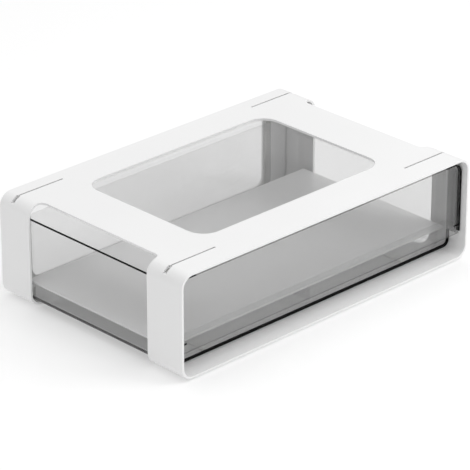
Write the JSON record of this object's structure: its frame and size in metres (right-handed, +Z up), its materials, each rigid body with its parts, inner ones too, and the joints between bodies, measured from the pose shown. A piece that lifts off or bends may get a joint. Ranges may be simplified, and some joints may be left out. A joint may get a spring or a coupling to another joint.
{
  "type": "towel cabinet",
  "caption": "White open-sided towel cabinet with a clear pull-out drawer, windows in its top and back, a finger gap under the drawer front, and rubber feet.",
  "frame": {"origin": "on the surface the feet stand on, under the middle of the cabinet", "axes": "+X to the right seen from the front, -Y out of the drawer's front, +Z up"},
  "size_m": [0.43, 0.282, 0.121],
  "materials": {
    "white_shell": "satin moulded plastic",
    "smoked_acrylic": "polished, lightly smoked clear acrylic",
    "foam_tape": "matt closed-cell foam",
    "white_acetal": "satin",
    "glide_strip": "satin",
    "screw_steel": "zinc plated",
    "black_rubber": "matt",
    "black_silicone": "soft satin"
  },
  "bodies": {
    "cabinet": {"outer_shell": "white_shell", "top_pane": "smoked_acrylic", "top_pane_tape": "foam_tape", "rear_pane": "smoked_acrylic", "rear_pane_tape": "foam_tape", "left_runner": "white_acetal", "right_runner": "white_acetal", "left_hold_down": "white_acetal", "right_hold_down": "white_acetal", "hold_down_screws": "screw_steel", "rear_bumpers": "foam_tape", "front_left_foot": "black_rubber", "front_right_foot": "black_rubber", "rear_left_foot": "black_rubber", "rear_right_foot": "black_rubber"},
    "drawer": {"drawer_tub": "smoked_acrylic", "drawer_front": "smoked_acrylic", "pull_bar": "smoked_acrylic", "left_front_trim": "black_silicone", "right_front_trim": "black_silicone", "lower_front_trim": "black_silicone", "left_rim_trim": "black_silicone", "right_rim_trim": "black_silicone", "left_lower_trim": "black_silicone", "right_lower_trim": "black_silicone", "floor_plate": "smoked_acrylic", "left_floor_rail": "smoked_acrylic", "centre_floor_rail": "smoked_acrylic", "right_floor_rail": "smoked_acrylic", "left_glide": "glide_strip", "right_glide": "glide_strip"}
  },
  "joints": [
    {"name": "drawer_slide", "type": "slide", "parent": "cabinet", "child": "drawer", "axis": [0, -1, 0], "range_m": [0, 0.195]}
  ]
}
